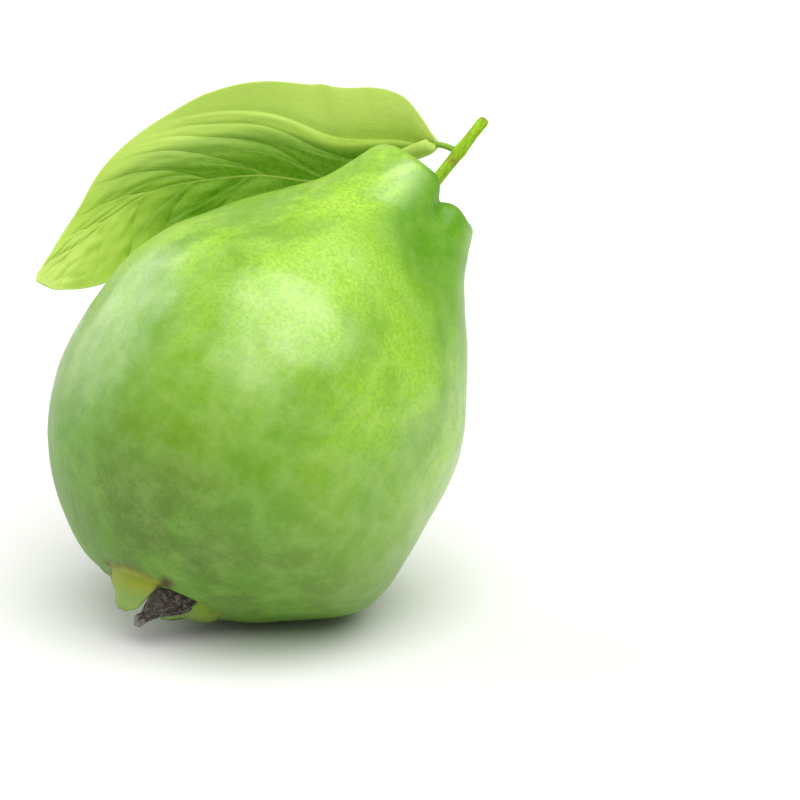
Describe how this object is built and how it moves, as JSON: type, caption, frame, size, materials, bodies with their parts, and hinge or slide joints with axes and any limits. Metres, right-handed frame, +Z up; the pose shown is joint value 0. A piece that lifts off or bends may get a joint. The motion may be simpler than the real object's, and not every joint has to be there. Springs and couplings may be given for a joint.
{
  "type": "guava",
  "caption": "Whole green guava lying tilted on its side, with knobs round the stalk hollow, dry flower end, stalk and one leaf.",
  "frame": {"origin": "centre of the small flat spot under the belly that the fruit rests on", "axes": "+Z up; the stalk end leans up and away towards +X and +Y, the flower end points down and towards -X and -Y; -Y is the side that the picture shows"},
  "size_m": [0.091, 0.0898, 0.0966],
  "materials": {
    "guava_skin": "waxy green skin with fine mottling and a soft sheen",
    "dry_sepal": "dead, dry, dark grey-brown plant tissue with pale fuzz",
    "green_stalk": "fresh green stalk, softly shining",
    "leaf_blade": "green leaf, upper side with a soft sheen, paler veins and edge"
  },
  "bodies": {
    "root": {"fruit": "guava_skin", "dry_calyx": "dry_sepal", "stalk": "green_stalk", "leaf": "leaf_blade"}
  },
  "joints": []
}
